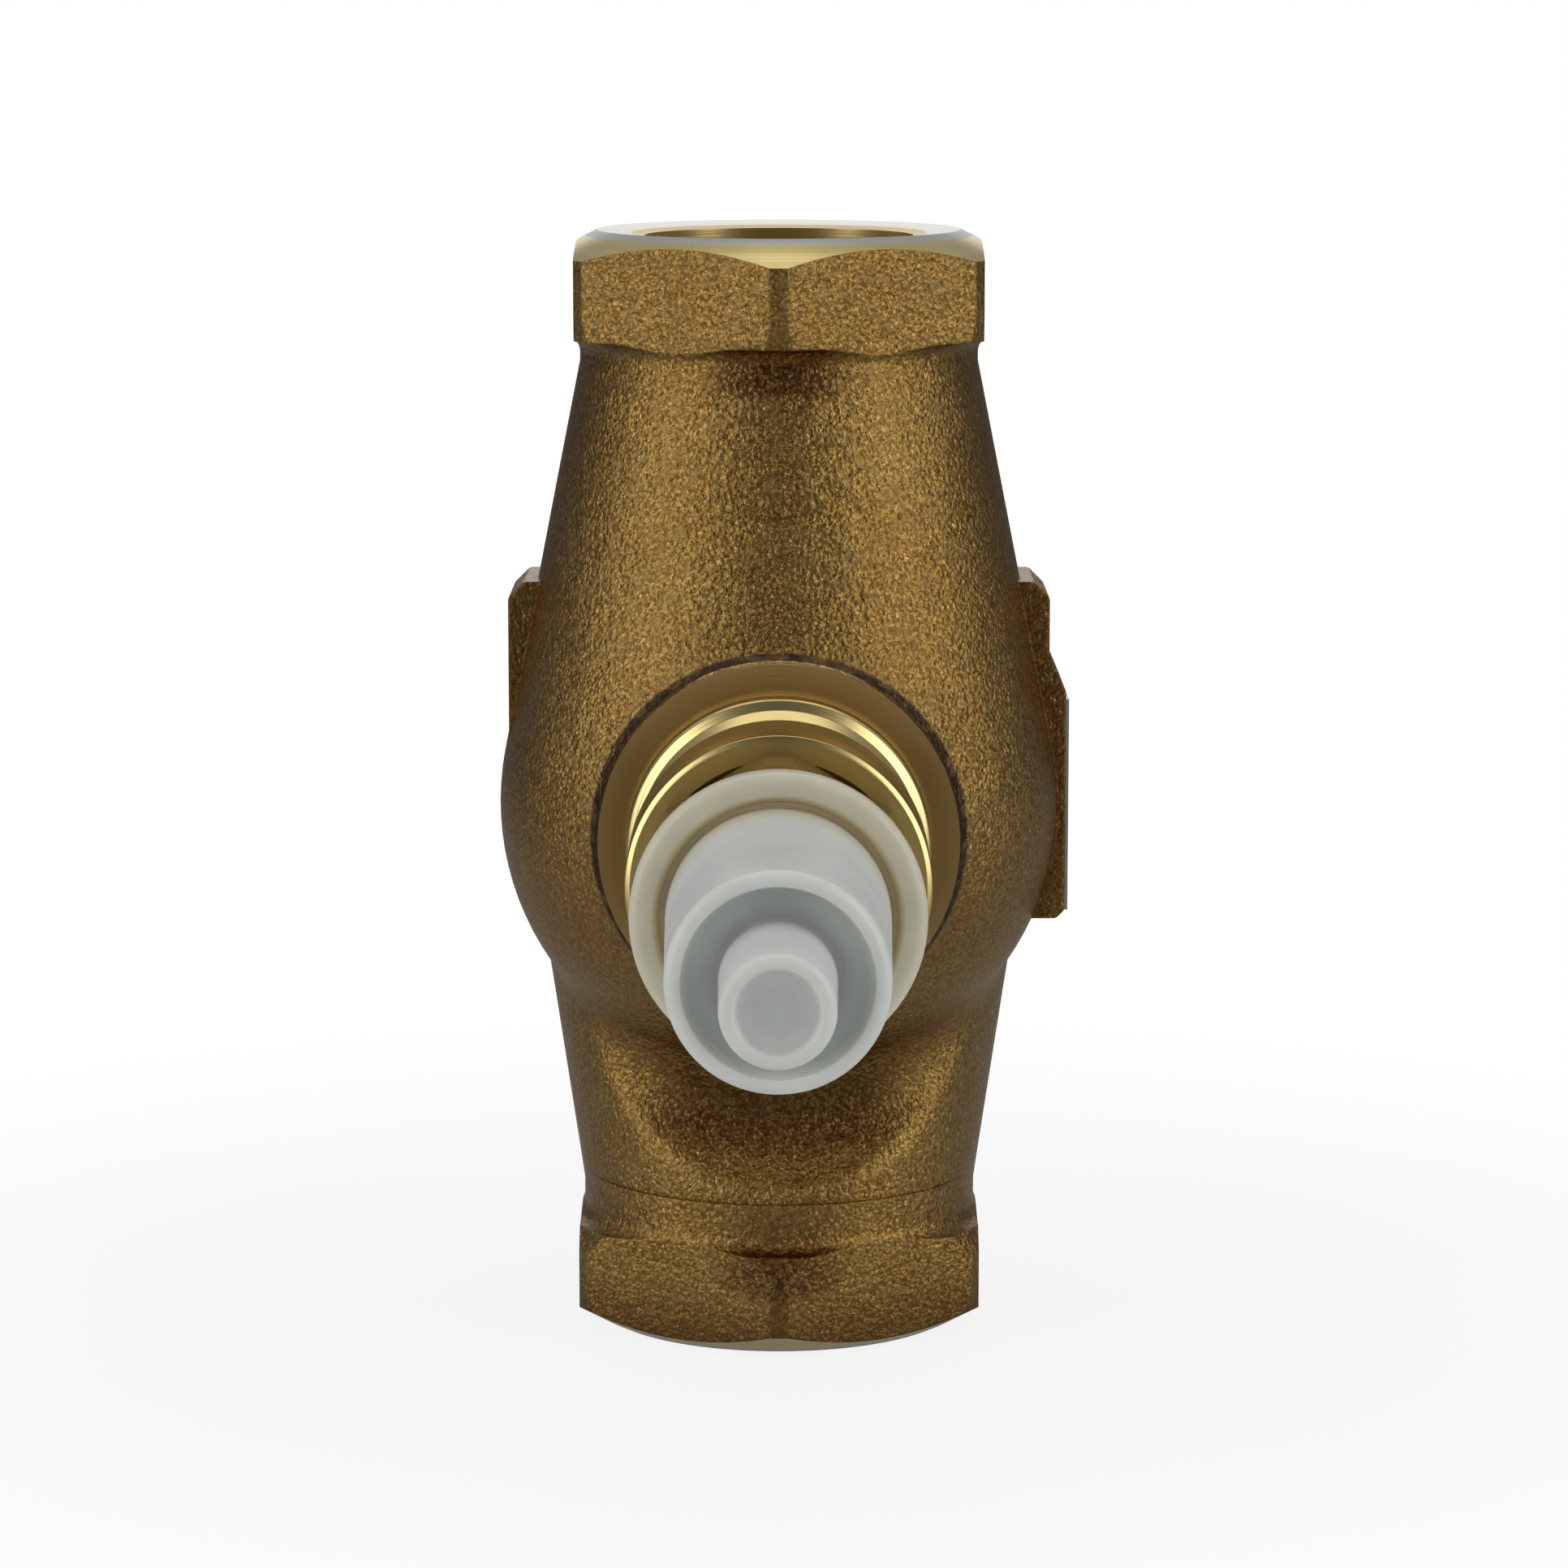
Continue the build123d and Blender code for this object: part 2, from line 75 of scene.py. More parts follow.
def finishPiece(piece, body, nodes=()):
    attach(piece, body)
    if nodes:
        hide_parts(*nodes)


def mergedCopy(node, name):
    # the CAD mesh is loose triangles, so the copy is merged before it is shaded smooth
    pick(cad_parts[node])
    bpy.ops.object.duplicate()
    piece = bpy.context.object
    rename(piece, name)
    piece.data.materials.clear()
    bpy.ops.object.mode_set(mode="EDIT")
    bpy.ops.mesh.select_all(action="SELECT")
    bpy.ops.mesh.remove_doubles(threshold=mergeReach)
    bpy.ops.mesh.customdata_custom_splitnormals_clear()
    bpy.ops.object.mode_set(mode="OBJECT")
    smoothByAngle(piece, copySmoothAngle)
    return piece


# node helpers: x and y are the node's place in the editor, and a value that
# feeds a socket is either another node's output or a plain number or colour

def feed(tree, node, values):
    for key, value in values.items():
        if isinstance(value, bpy.types.NodeSocket):
            tree.links.new(value, node.inputs[key])
        else:
            node.inputs[key].default_value = value


def addNode(tree, kind, x, y, inputs=None, **settings):
    node = tree.nodes.new(kind)
    node.location = (x, y)
    for key, value in settings.items():
        setattr(node, key, value)
    feed(tree, node, inputs or {})
    return node


def objectPlace(tree, x, y):
    return addNode(tree, "ShaderNodeTexCoord", x, y).outputs["Object"]


def splitPlace(tree, x, y, vector):
    return tuple(addNode(tree, "ShaderNodeSeparateXYZ", x, y, {0: vector}).outputs)


def joinPlace(tree, x, y, first, second):
    return addNode(tree, "ShaderNodeCombineXYZ", x, y, {0: first, 1: second}).outputs[0]


def numberMath(tree, x, y, operation, first, second=0.0, clamp=False):
    inputs = {0: first, 1: second}
    return addNode(tree, "ShaderNodeMath", x, y, inputs, operation=operation, use_clamp=clamp).outputs[0]


def vectorMath(tree, x, y, operation, first, second=(0, 0, 0)):
    node = addNode(tree, "ShaderNodeVectorMath", x, y, {0: first, 1: second}, operation=operation)
    return node.outputs["Value" if operation in ("LENGTH", "DOT_PRODUCT") else "Vector"]


def spread(tree, x, y, value, reach, result=(0.0, 1.0)):
    # carries a value from the first pair of numbers to the second, softly at both ends
    inputs = {0: value, 1: reach[0], 2: reach[1], 3: result[0], 4: result[1]}
    return addNode(tree, "ShaderNodeMapRange", x, y, inputs, interpolation_type="SMOOTHSTEP").outputs[0]


def colorRamp(tree, x, y, value, stops):
    # stops are (place, colour) pairs, from low to high
    ramp = addNode(tree, "ShaderNodeValToRGB", x, y, {0: value})
    elements = ramp.color_ramp.elements
    for index in (0, -1):
        elements[index].position = stops[index][0]
        elements[index].color = stops[index][1]
    for place, color in stops[1:-1]:
        elements.new(place).color = color
    return ramp.outputs["Color"]


def mixColor(tree, x, y, factor, first, second, blend="MIX"):
    inputs = {0: factor, 6: first, 7: second}
    return addNode(tree, "ShaderNodeMix", x, y, inputs, data_type="RGBA", blend_type=blend).outputs[2]


def noise(tree, x, y, vector, values):
    return addNode(tree, "ShaderNodeTexNoise", x, y, {"Vector": vector, **values}).outputs["Fac"]


def groupNode(tree, x, y, group, vector, values):
    return addNode(tree, "ShaderNodeGroup", x, y, {"Vector": vector, **values}, node_tree=group).outputs


def bumpNormal(tree, x, y, values):
    return addNode(tree, "ShaderNodeBump", x, y, values).outputs["Normal"]


def newMaterial(name):
    material = bpy.data.materials.new(name)
    material.use_nodes = True
    return material, material.node_tree, material.node_tree.nodes["Principled BSDF"]


def newGroup(name, numbers, results):
    # every group takes a vector and some numbers, and gives numbers back
    group = bpy.data.node_groups.new(name, "ShaderNodeTree")
    group.interface.new_socket("Vector", in_out="INPUT", socket_type="NodeSocketVector")
    for label, start in numbers.items():
        socket = group.interface.new_socket(label, in_out="INPUT", socket_type="NodeSocketFloat")
        socket.default_value = start
    for label in results:
        group.interface.new_socket(label, in_out="OUTPUT", socket_type="NodeSocketFloat")
    inside = addNode(group, "NodeGroupInput", -1400, 0)
    outside = addNode(group, "NodeGroupOutput", 700, 0)
    return group, inside.outputs, outside


sandRelief = {
    "fine": {"Detail": 4.0, "Roughness": 0.6, "Distortion": 0.2},
    "soft": {"Detail": 2.0, "Roughness": 0.5},
    "domeSmoothness": 0.25,
    "domes": -0.35,
    "planes": 0.45,
    "lumps": 0.4,
    "glintGain": 30.0,
}


def sandGroup():
    # the rough skin that moulding sand leaves: rounded grains, tilted facets, soft lumps, bright spots
    values = sandRelief
    tree, given, outside = newGroup(
        "sandSkin", {"Grain Scale": 1500.0, "Lump Scale": 300.0, "Facets": 0.93},
        ["Height", "Grain", "Lumps", "Glints"])
    place, scale = given["Vector"], given["Grain Scale"]
    fine = noise(tree, -1000, 500, place, {"Scale": scale, **values["fine"]})
    lumps = noise(tree, -1000, -500, place, {"Scale": given["Lump Scale"], **values["soft"]})
    grains = addNode(tree, "ShaderNodeTexVoronoi", -1000, 200,
                     {"Vector": place, "Scale": scale, "Smoothness": values["domeSmoothness"]},
                     feature="SMOOTH_F1")
    facets = addNode(tree, "ShaderNodeTexVoronoi", -1000, -150, {"Vector": place, "Scale": scale})

    # each facet is a small plane through the middle of its cell, tilted by the cell's own colour
    fromMiddle = vectorMath(tree, -800, -50, "SUBTRACT", place, facets.outputs["Position"])
    lean = vectorMath(tree, -800, -250, "SUBTRACT", facets.outputs["Color"], (0.5, 0.5, 0.5))
    tilt = vectorMath(tree, -600, -100, "DOT_PRODUCT", fromMiddle, lean)
    steps = numberMath(tree, -400, -100, "MULTIPLY", tilt, scale)
    planes = numberMath(tree, -250, -100, "MULTIPLY", steps, values["planes"])
    domes = numberMath(tree, -700, 200, "MULTIPLY", grains.outputs["Distance"], values["domes"])
    grain = numberMath(tree, -500, 400, "ADD", fine, domes)
    rough = numberMath(tree, -300, 200, "ADD", grain, planes)
    lumpRise = numberMath(tree, -700, -500, "MULTIPLY", lumps, values["lumps"])
    height = numberMath(tree, -100, 0, "ADD", rough, lumpRise)

    cell = addNode(tree, "ShaderNodeSeparateColor", -700, -350, {0: facets.outputs["Color"]})
    above = numberMath(tree, -500, -350, "SUBTRACT", cell.outputs["Red"], given["Facets"])
    glints = numberMath(tree, -300, -350, "MULTIPLY", above, values["glintGain"], clamp=True)
    feed(tree, outside, {"Height": height, "Grain": grain, "Lumps": lumps, "Glints": glints})
    return tree


turningTraces = {
    "rings": {"Detail": 2.0, "Roughness": 0.6},
    "bands": {"Scale": 450.0, "Detail": 1.0},
}


def turningGroup():
    # fine rings left by a turning tool, round the Z axis of the incoming vector
    tree, given, outside = newGroup("turningMarks", {"Pitch": 2500.0}, ["Height", "Bands"])
    x, y, z = splitPlace(tree, -1200, 0, given["Vector"])
    radius = vectorMath(tree, -800, 100, "LENGTH", joinPlace(tree, -1000, 100, x, y))
    place = joinPlace(tree, -600, 0, radius, z)
    rings = noise(tree, -300, 100, place, {"Scale": given["Pitch"], **turningTraces["rings"]})
    bands = noise(tree, -300, -150, place, turningTraces["bands"])
    feed(tree, outside, {"Height": rings, "Bands": bands})
    return tree


ringEdges = {
    "softness": (1.0, 0.4),     # from clear to full, in shares of the half width
    "startSharpness": 5000.0,
}


def ringGroup():
    # a soft mask for a ring round the bonnet axis: its radius, half width and start along the axis
    tree, given, outside = newGroup(
        "bonnetRing", {"Radius": 0.0216, "Half Width": 0.0004, "From": 0.030}, ["Mask"])
    x, y, z = splitPlace(tree, -1200, 0, given["Vector"])
    overAxis = numberMath(tree, -1100, -100, "SUBTRACT", z, axisHeight)
    radius = vectorMath(tree, -700, 100, "LENGTH", joinPlace(tree, -900, 100, x, overAxis))
    away = numberMath(tree, -500, 100, "SUBTRACT", radius, given["Radius"])
    size = numberMath(tree, -300, 100, "ABSOLUTE", away)
    share = numberMath(tree, -100, 100, "DIVIDE", size, given["Half Width"])
    near = spread(tree, 100, 100, share, ringEdges["softness"])
    outwards = numberMath(tree, -900, -250, "MULTIPLY", y, -1.0)
    past = numberMath(tree, -700, -250, "SUBTRACT", outwards, given["From"])
    there = numberMath(tree, -500, -250, "MULTIPLY", past, ringEdges["startSharpness"], clamp=True)
    feed(tree, outside, {"Mask": numberMath(tree, 400, 0, "MULTIPLY", near, there)})
    return tree


sandSkin = sandGroup()
turningMarks = turningGroup()
bonnetRing = ringGroup()
print("shader groups built")


def ringMask(tree, x, y, place, values):
    return groupNode(tree, x, y, bonnetRing, place, values)["Mask"]


# a pair of places runs from where a mask is clear to where it is full
castBronze = {
    "dark": (0.33, 0.198, 0.060, 1),
    "middle": (0.45, 0.276, 0.086, 1),
    "bright": (0.56, 0.352, 0.115, 1),
    "toneStops": (0.18, 0.34, 0.5),
    "sand": {"Grain Scale": 1850.0, "Lump Scale": 420.0, "Facets": 0.985},
    "copper": (0.97, 0.93, 0.90, 1),
    "copperCloud": {"Scale": 55.0, "Detail": 4.0, "Roughness": 0.6},
    "copperReach": (0.42, 0.62),
    "glint": (0.78, 0.53, 0.21, 1),
    # painted shade: a dark red-brown for creases and hollows
    "creviceShade": (0.12, 0.052, 0.018, 1),
    "creviceShadeReach": 0.014,
    "creviceShadeSamples": 6,
    "creviceShadeFrom": (0.93, 0.55),
    "creviceShadeShare": (0.0, 0.85),
    # painted shade under the globe and under the upper nut's front corner
    "crescent": {"Radius": 0.0372, "Half Width": 0.0062, "From": 0.012},
    "crescentTop": (0.046, 0.034),
    "crescentSides": (0.0175, 0.009),
    "patch": {"Radius": 0.0552, "Half Width": 0.0042, "From": 0.012},
    "patchSides": (0.0105, 0.003),
    "shadeGrainReach": (0.22, 0.48),
    "shadeGrainShare": (0.85, 0.45),
    # painted shade: a dark ragged ring round the foot of the boss
    "paintedRingShade": (0.085, 0.055, 0.036, 1),
    "paintedRingShadePlace": {"Radius": 0.0222, "Half Width": 0.00065, "From": 0.026},
    "paintedRingShadeLumps": (0.25, 0.6),
    "paintedRingShadeShare": (0.55, 1.0),
    # painted highlight: a bright line round the edge of the boss face
    "edge": (0.86, 0.66, 0.32, 1),
    "edgePlace": {"Radius": 0.02165, "Half Width": 0.00028, "From": 0.034},
    "roughness": (0.22, 0.28),
    "roughnessLumps": (0.35, 0.65),
    "glintPolish": -0.12,
    "bumpDistance": 0.00023,
    "edgeSoftness": 0.0005,
    "edgeSamples": 4,
}


def paintedShadeMask(tree, place, grain):
    # painted shade: a dark crescent under the globe and a dark patch under the upper nut's front corner,
    # broken up by the grain
    values = castBronze
    x, _, z = splitPlace(tree, -1500, 1300, place)
    sideways = numberMath(tree, -1300, 1800, "ABSOLUTE", x)
    crescent = ringMask(tree, -1300, 1300, place, values["crescent"])
    below = spread(tree, -1300, 1100, z, values["crescentTop"])
    inner = spread(tree, -1100, 2000, sideways, values["crescentSides"])
    low = numberMath(tree, -1100, 1100, "MULTIPLY", below, inner)
    crescentHere = numberMath(tree, -1000, 1200, "MULTIPLY", crescent, low)
    patch = ringMask(tree, -1300, 1600, place, values["patch"])
    central = spread(tree, -1100, 1800, sideways, values["patchSides"])
    patchHere = numberMath(tree, -1000, 1600, "MULTIPLY", patch, central)
    shadePlaces = numberMath(tree, -800, 1400, "MAXIMUM", crescentHere, patchHere)
    grainBroken = spread(tree, -1000, 1000, grain, values["shadeGrainReach"], values["shadeGrainShare"])
    return numberMath(tree, -700, 1200, "MULTIPLY", shadePlaces, grainBroken)


def castBronzeMaterial():
    values = castBronze
    material, tree, shader = newMaterial("castBronze")
    place = objectPlace(tree, -1700, 0)
    sand = groupNode(tree, -1400, 0, sandSkin, place, values["sand"])

    tones = [values[name] for name in ("dark", "middle", "bright")]
    tone = colorRamp(tree, -1100, 300, sand["Grain"], list(zip(values["toneStops"], tones)))
    cloud = noise(tree, -1400, 600, place, values["copperCloud"])
    copper = spread(tree, -1100, 600, cloud, values["copperReach"])
    toned = mixColor(tree, -800, 300, copper, tone, values["copper"], "MULTIPLY")
    # painted highlights: a few grain cells get a bright gold colour, and are made smoother too
    shone = mixColor(tree, -600, 300, sand["Glints"], toned, values["glint"])

    # painted shade: creases and hollows, as far as the occlusion reaches, get a dark red-brown colour
    hollow = addNode(tree, "ShaderNodeAmbientOcclusion", -1400, 900,
                     {"Distance": values["creviceShadeReach"]}, samples=values["creviceShadeSamples"])
    hollowShade = spread(tree, -1100, 900, hollow.outputs["AO"], values["creviceShadeFrom"], values["creviceShadeShare"])
    darkest = numberMath(tree, -600, 900, "MAXIMUM", paintedShadeMask(tree, place, sand["Grain"]), hollowShade)
    shadeMixed = mixColor(tree, -500, 500, darkest, shone, values["creviceShade"])

    # painted shade: a dark ragged ring round the foot of the boss, where its side wall lies in shade
    shadow = ringMask(tree, -1100, -100, place, values["paintedRingShadePlace"])
    ragged = spread(tree, -900, -250, sand["Lumps"], values["paintedRingShadeLumps"], values["paintedRingShadeShare"])
    shadowHere = numberMath(tree, -700, -150, "MULTIPLY", shadow, ragged)
    ringed = mixColor(tree, -400, 300, shadowHere, shadeMixed, values["paintedRingShade"])
    # painted highlight: a bright brass line round the edge of the boss face
    edgeHighlight = ringMask(tree, -1100, -500, place, values["edgePlace"])
    edged = mixColor(tree, -200, 300, edgeHighlight, ringed, values["edge"])

    rough = spread(tree, -800, 0, sand["Lumps"], values["roughnessLumps"], values["roughness"])
    polished = numberMath(tree, -600, 0, "MULTIPLY", sand["Glints"], values["glintPolish"])
    softEdge = addNode(tree, "ShaderNodeBevel", -800, -400,
                       {"Radius": values["edgeSoftness"]}, samples=values["edgeSamples"])
    skin = bumpNormal(tree, -400, -250, {
        "Strength": 1.0, "Distance": values["bumpDistance"], "Height": sand["Height"],
        "Normal": softEdge.outputs["Normal"]})
    feed(tree, shader, {
        "Base Color": edged, "Metallic": 1.0, "Normal": skin,
        "Roughness": numberMath(tree, -400, 0, "ADD", rough, polished)})
    return material


bandStops = (0.3, 0.7)

# the turned faces, by material: "Z" turns about the ports' axis and "Y" about the bonnet's
turnedFinishes = {
    "turnedBrass": {
        "base": (0.82, 0.65, 0.29, 1), "dull": (0.72, 0.54, 0.22, 1), "roughness": 0.30,
        "spreadAcross": 0.6, "pitch": 2600, "bumpDistance": 0.000018, "axis": "Y"},
    "turnedBossFace": {
        "base": (0.70, 0.46, 0.17, 1), "dull": (0.58, 0.37, 0.13, 1), "roughness": 0.36,
        "spreadAcross": 0.9, "pitch": 2600, "bumpDistance": 0.00003, "axis": "Y"},
    "turnedPorts": {
        "base": (0.74, 0.59, 0.26, 1), "dull": (0.66, 0.51, 0.21, 1), "roughness": 0.22,
        "spreadAcross": 0.3, "pitch": 2600, "bumpDistance": 0.000010, "axis": "Z"},
    # painted reflection: the port end faces are a pale near-white
    "portEndReflection": {
        "base": (0.88, 0.86, 0.77, 1), "dull": (0.80, 0.77, 0.67, 1), "roughness": 0.30,
        "spreadAcross": 0.3, "pitch": 3000, "bumpDistance": 0.000008, "axis": "Z"},
    "boredPorts": {
        "base": (0.78, 0.60, 0.27, 1), "dull": (0.64, 0.48, 0.20, 1), "roughness": 0.34,
        "spreadAcross": 0.3, "pitch": 2600, "bumpDistance": 0.000015, "axis": "Z"},
    # painted reflection: the port end bevels are grey, darker than the end faces
    "portBevelReflection": {
        "base": (0.56, 0.57, 0.54, 1), "dull": (0.48, 0.49, 0.46, 1), "roughness": 0.30,
        "spreadAcross": 0.3, "pitch": 3000, "bumpDistance": 0.000008, "axis": "Z"},
}


def turnedMaterial(name, values):
    material, tree, shader = newMaterial(name)
    place = objectPlace(tree, -1500, 0)
    turn = addNode(tree, "ShaderNodeMapping", -1300, 0, {"Vector": place})
    middle, axis = (0, 0, 0), (0, 0, 1)
    if values["axis"] == "Y":
        middle, axis = (0, 0, axisHeight), (0, 1, 0)
        feed(tree, turn, {"Rotation": (math.radians(90), 0, 0), "Location": (0, axisHeight, 0)})
    marks = groupNode(tree, -1000, 0, turningMarks, turn.outputs["Vector"], {"Pitch": values["pitch"]})
    stops = list(zip(bandStops, (values["dull"], values["base"])))
    tone = colorRamp(tree, -600, 200, marks["Bands"], stops)
    grooves = bumpNormal(tree, -300, -250, {
        "Strength": 1.0, "Distance": values["bumpDistance"], "Height": marks["Height"]})

    # the tool marks run round the axis, so the light spreads across them
    fromAxis = vectorMath(tree, -1000, -500, "SUBTRACT", place, middle)
    along = vectorMath(tree, -800, -500, "CROSS_PRODUCT", axis, fromAxis)
    feed(tree, shader, {
        "Base Color": tone, "Normal": grooves, "Tangent": along, "Metallic": 1.0,
        "Roughness": values["roughness"], "Anisotropic": values["spreadAcross"]})
    return material


plainCloud = {
    "noise": {"Scale": 300.0, "Detail": 3.0},
    "stops": (0.35, 0.65),
    "darkShare": 0.85,
}

plainFinishes = {
    "turnedSteel": {"color": (0.55, 0.55, 0.54), "metallic": 1.0, "roughness": 0.25},
    "whiteSeal": {"color": (0.80, 0.79, 0.74), "metallic": 0.0, "roughness": 0.5},
    "blackRubber": {"color": (0.02, 0.02, 0.02), "metallic": 0.0, "roughness": 0.55},
    "plateMetal": {"color": (0.62, 0.62, 0.62), "metallic": 1.0, "roughness": 0.35},
}


def plainMaterial(name, values):
    # one colour, a little clouded
    material, tree, shader = newMaterial(name)
    cloud = noise(tree, -800, 0, objectPlace(tree, -1000, 0), plainCloud["noise"])
    darker = [plainCloud["darkShare"] * part for part in values["color"]]
    stops = list(zip(plainCloud["stops"], ((*darker, 1), (*values["color"], 1))))
    tone = colorRamp(tree, -500, 0, cloud, stops)
    feed(tree, shader, {
        "Base Color": tone, "Metallic": values["metallic"], "Roughness": values["roughness"]})
    return material


milkyPlastic = {
    "milk": (0.74, 0.76, 0.73, 1),
    "ivory": (0.69, 0.66, 0.53, 1),
    "flangeFrom": (0.0935, 0.0860),
    "thin": (0.60, 0.52, 0.32, 1),
    "thinFrom": (0.0862, 0.0855),
    "web": {"Radius": 0.0129, "Half Width": 0.0013, "From": 0.080},
    # painted shade for the floor round the post and the dish in its end
    "hollowShade": (0.60, 0.63, 0.60, 1),
    "floor": {"Radius": 0.0081, "Half Width": 0.0024, "From": 0.1165},
    "dish": {"Radius": 0.0, "Half Width": 0.0047, "From": 0.1340},
    "cloud": {"Scale": 160.0, "Detail": 4.0, "Roughness": 0.55},
    "cloudReach": (0.3, 0.7),
    "cloudShare": (0.93, 1.0),
    "skin": {"Scale": 900.0, "Detail": 2.0},
    "skinStrength": 0.25,
    "skinDistance": 0.00004,
    "roughness": 0.36,
    "scatter": (0.0030, 0.0030, 0.0024),
    "scatterShare": 0.7,
}


def milkyPlasticMaterial():
    # the thin places let the metal behind show through as a warm tint
    values = milkyPlastic
    material, tree, shader = newMaterial("milkyPlastic")
    place = objectPlace(tree, -1700, 0)
    y = splitPlace(tree, -1500, 200, place)[1]
    outwards = numberMath(tree, -1300, 200, "MULTIPLY", y, -1.0)
    flange = spread(tree, -1100, 300, outwards, values["flangeFrom"])
    onFlange = spread(tree, -1100, 100, outwards, values["thinFrom"])
    web = ringMask(tree, -1300, -100, place, values["web"])
    webHere = numberMath(tree, -900, 0, "MULTIPLY", web, onFlange)
    warm = mixColor(tree, -700, 300, flange, values["milk"], values["ivory"])
    thinned = mixColor(tree, -500, 300, webHere, warm, values["thin"])
    # painted shade: the floor round the post and the dish in the post's end are a darker grey
    floor = ringMask(tree, -1300, -400, place, values["floor"])
    dish = ringMask(tree, -1300, -700, place, values["dish"])
    hollows = numberMath(tree, -900, -500, "MAXIMUM", floor, dish)
    hollowShaded = mixColor(tree, -400, 500, hollows, thinned, values["hollowShade"])
    cloud = noise(tree, -900, -300, place, values["cloud"])
    soft = spread(tree, -700, -300, cloud, values["cloudReach"], values["cloudShare"])
    clouded = mixColor(tree, -300, 300, 1.0, hollowShaded, soft, "MULTIPLY")
    skin = bumpNormal(tree, -300, -400, {
        "Strength": values["skinStrength"], "Distance": values["skinDistance"],
        "Height": noise(tree, -700, -600, place, values["skin"])})
    feed(tree, shader, {
        "Base Color": clouded, "Normal": skin, "Roughness": values["roughness"],
        "Subsurface Weight": values["scatterShare"], "Subsurface Radius": values["scatter"],
        "Subsurface Scale": 1.0})
    return material


bronze = castBronzeMaterial()
turned = {name: turnedMaterial(name, values) for name, values in turnedFinishes.items()}
plastic = milkyPlasticMaterial()
plain = {name: plainMaterial(name, values) for name, values in plainFinishes.items()}
print("materials built")


bodyFinishes = {
    "sandSkin": bronze,
    "chamfer": turned["turnedPorts"],
    "bossFace": turned["turnedBossFace"],
    "endFace": turned["portEndReflection"],
    "bore": turned["boredPorts"],
    "bevel": turned["portBevelReflection"],
}

# where the turned faces of the casting are, with the upright part of their normals
castBody = {
    "boreReach": 0.0186,
    "boreDepth": 0.0185,
    "boreStart": 0.0005,
    "faceRadius": 0.0240,
    "faceDepth": 0.0008,
    "bevelTilt": (0.75, 0.97),
    "chamferDepth": 0.0042,
    "chamferTilt": (0.3, 0.95),
    "bossFace": 0.0359,
    "bossTilt": 0.99,
    "rimRadius": 0.01825,
    "rimSlack": 0.00005,
    "rimDish": 0.00042,
}


def dishEnds(piece):
    # the end faces fall slightly towards the bore
    values = castBody
    for vertex in piece.data.vertices:
        place = vertex.co
        onRim = abs(math.hypot(place.x, place.y) - values["rimRadius"]) < values["rimSlack"]
        if onRim and place.z > bodyLength - placeSlack:
            place.z -= values["rimDish"]
        elif onRim and place.z < placeSlack:
            place.z += values["rimDish"]


def faceFinish(centre, normal):
    values = castBody
    radius = math.hypot(centre.x, centre.y)
    depth = min(centre.z, bodyLength - centre.z)
    tilt = abs(normal.z)
    if radius < values["boreReach"] and values["boreStart"] < depth < values["boreDepth"]:
        return "bore"
    if radius < values["faceRadius"] and depth < values["faceDepth"]:
        return "bevel" if values["bevelTilt"][0] < tilt < values["bevelTilt"][1] else "endFace"
    if depth < values["chamferDepth"] and values["chamferTilt"][0] < tilt < values["chamferTilt"][1]:
        return "chamfer"
    if centre.y < -values["bossFace"] and normal.y < -values["bossTilt"]:
        return "bossFace"
    return "sandSkin"


def dressBody():
    piece = mergedCopy("valve_body", "castBody")
    dishEnds(piece)
    for material in bodyFinishes.values():
        piece.data.materials.append(material)
    order = list(bodyFinishes)
    for face in piece.data.polygons:
        face.material_index = order.index(faceFinish(face.center, face.normal))
    finishPiece(piece, "valve", ["valve_body"])


dressBody()
print("body dressed")


portThread = {
    "rootRadius": 0.01662,
    "crestRadius": 0.01515,
    "sunk": 0.00006,          # how far the ridge's foot stands in the wall
    "crestHalf": 0.00016,
    "footShare": 0.44,        # half the foot's width, in shares of the pitch
    "pitch": 0.002309,
    "start": 0.0016,
    "turns": 7,
    "steps": 72,
    "smoothAngle": 35,
}


def portThreads(name, flipped):
    # one ridge section turned about the flow axis as it climbs
    values = portThread
    half = values["pitch"] * values["footShare"]
    middle = values["start"] + half
    foot = values["rootRadius"] + values["sunk"]
    deselectAll()
    bpy.ops.mesh.primitive_plane_add(size=0.002, location=(0, 0, 0))
    ridge = bpy.context.object
    rename(ridge, name)
    corners = {0: (foot, middle - half), 1: (foot, middle + half),
               3: (values["crestRadius"], middle + values["crestHalf"]),
               2: (values["crestRadius"], middle - values["crestHalf"])}
    for index, (radius, height) in corners.items():
        ridge.data.vertices[index].co = (radius, 0, height)
    screw = ridge.modifiers.new("climb", "SCREW")
    screw.angle = 2 * math.pi
    screw.screw_offset = values["pitch"]
    screw.iterations = values["turns"]
    screw.steps = values["steps"]
    screw.render_steps = values["steps"]
    screw.use_merge_vertices = True
    screw.merge_threshold = mergeReach / 2
    pick(ridge)
    bpy.ops.object.modifier_apply(modifier="climb")
    bpy.ops.object.mode_set(mode="EDIT")
    bpy.ops.mesh.select_all(action="SELECT")
    bpy.ops.mesh.remove_doubles(threshold=mergeReach / 2)
    bpy.ops.mesh.normals_make_consistent(inside=False)
    bpy.ops.object.mode_set(mode="OBJECT")
    if flipped:
        ridge.rotation_euler = (math.pi, 0, 0)
        ridge.location = (0, 0, bodyLength)
        settle(ridge)
    ridge.data.materials.append(turned["turnedPorts"])
    smoothByAngle(ridge, values["smoothAngle"])
    finishPiece(ridge, "valve")


portThreads("lowerPortThread", False)
portThreads("upperPortThread", True)
print("port threads cut")


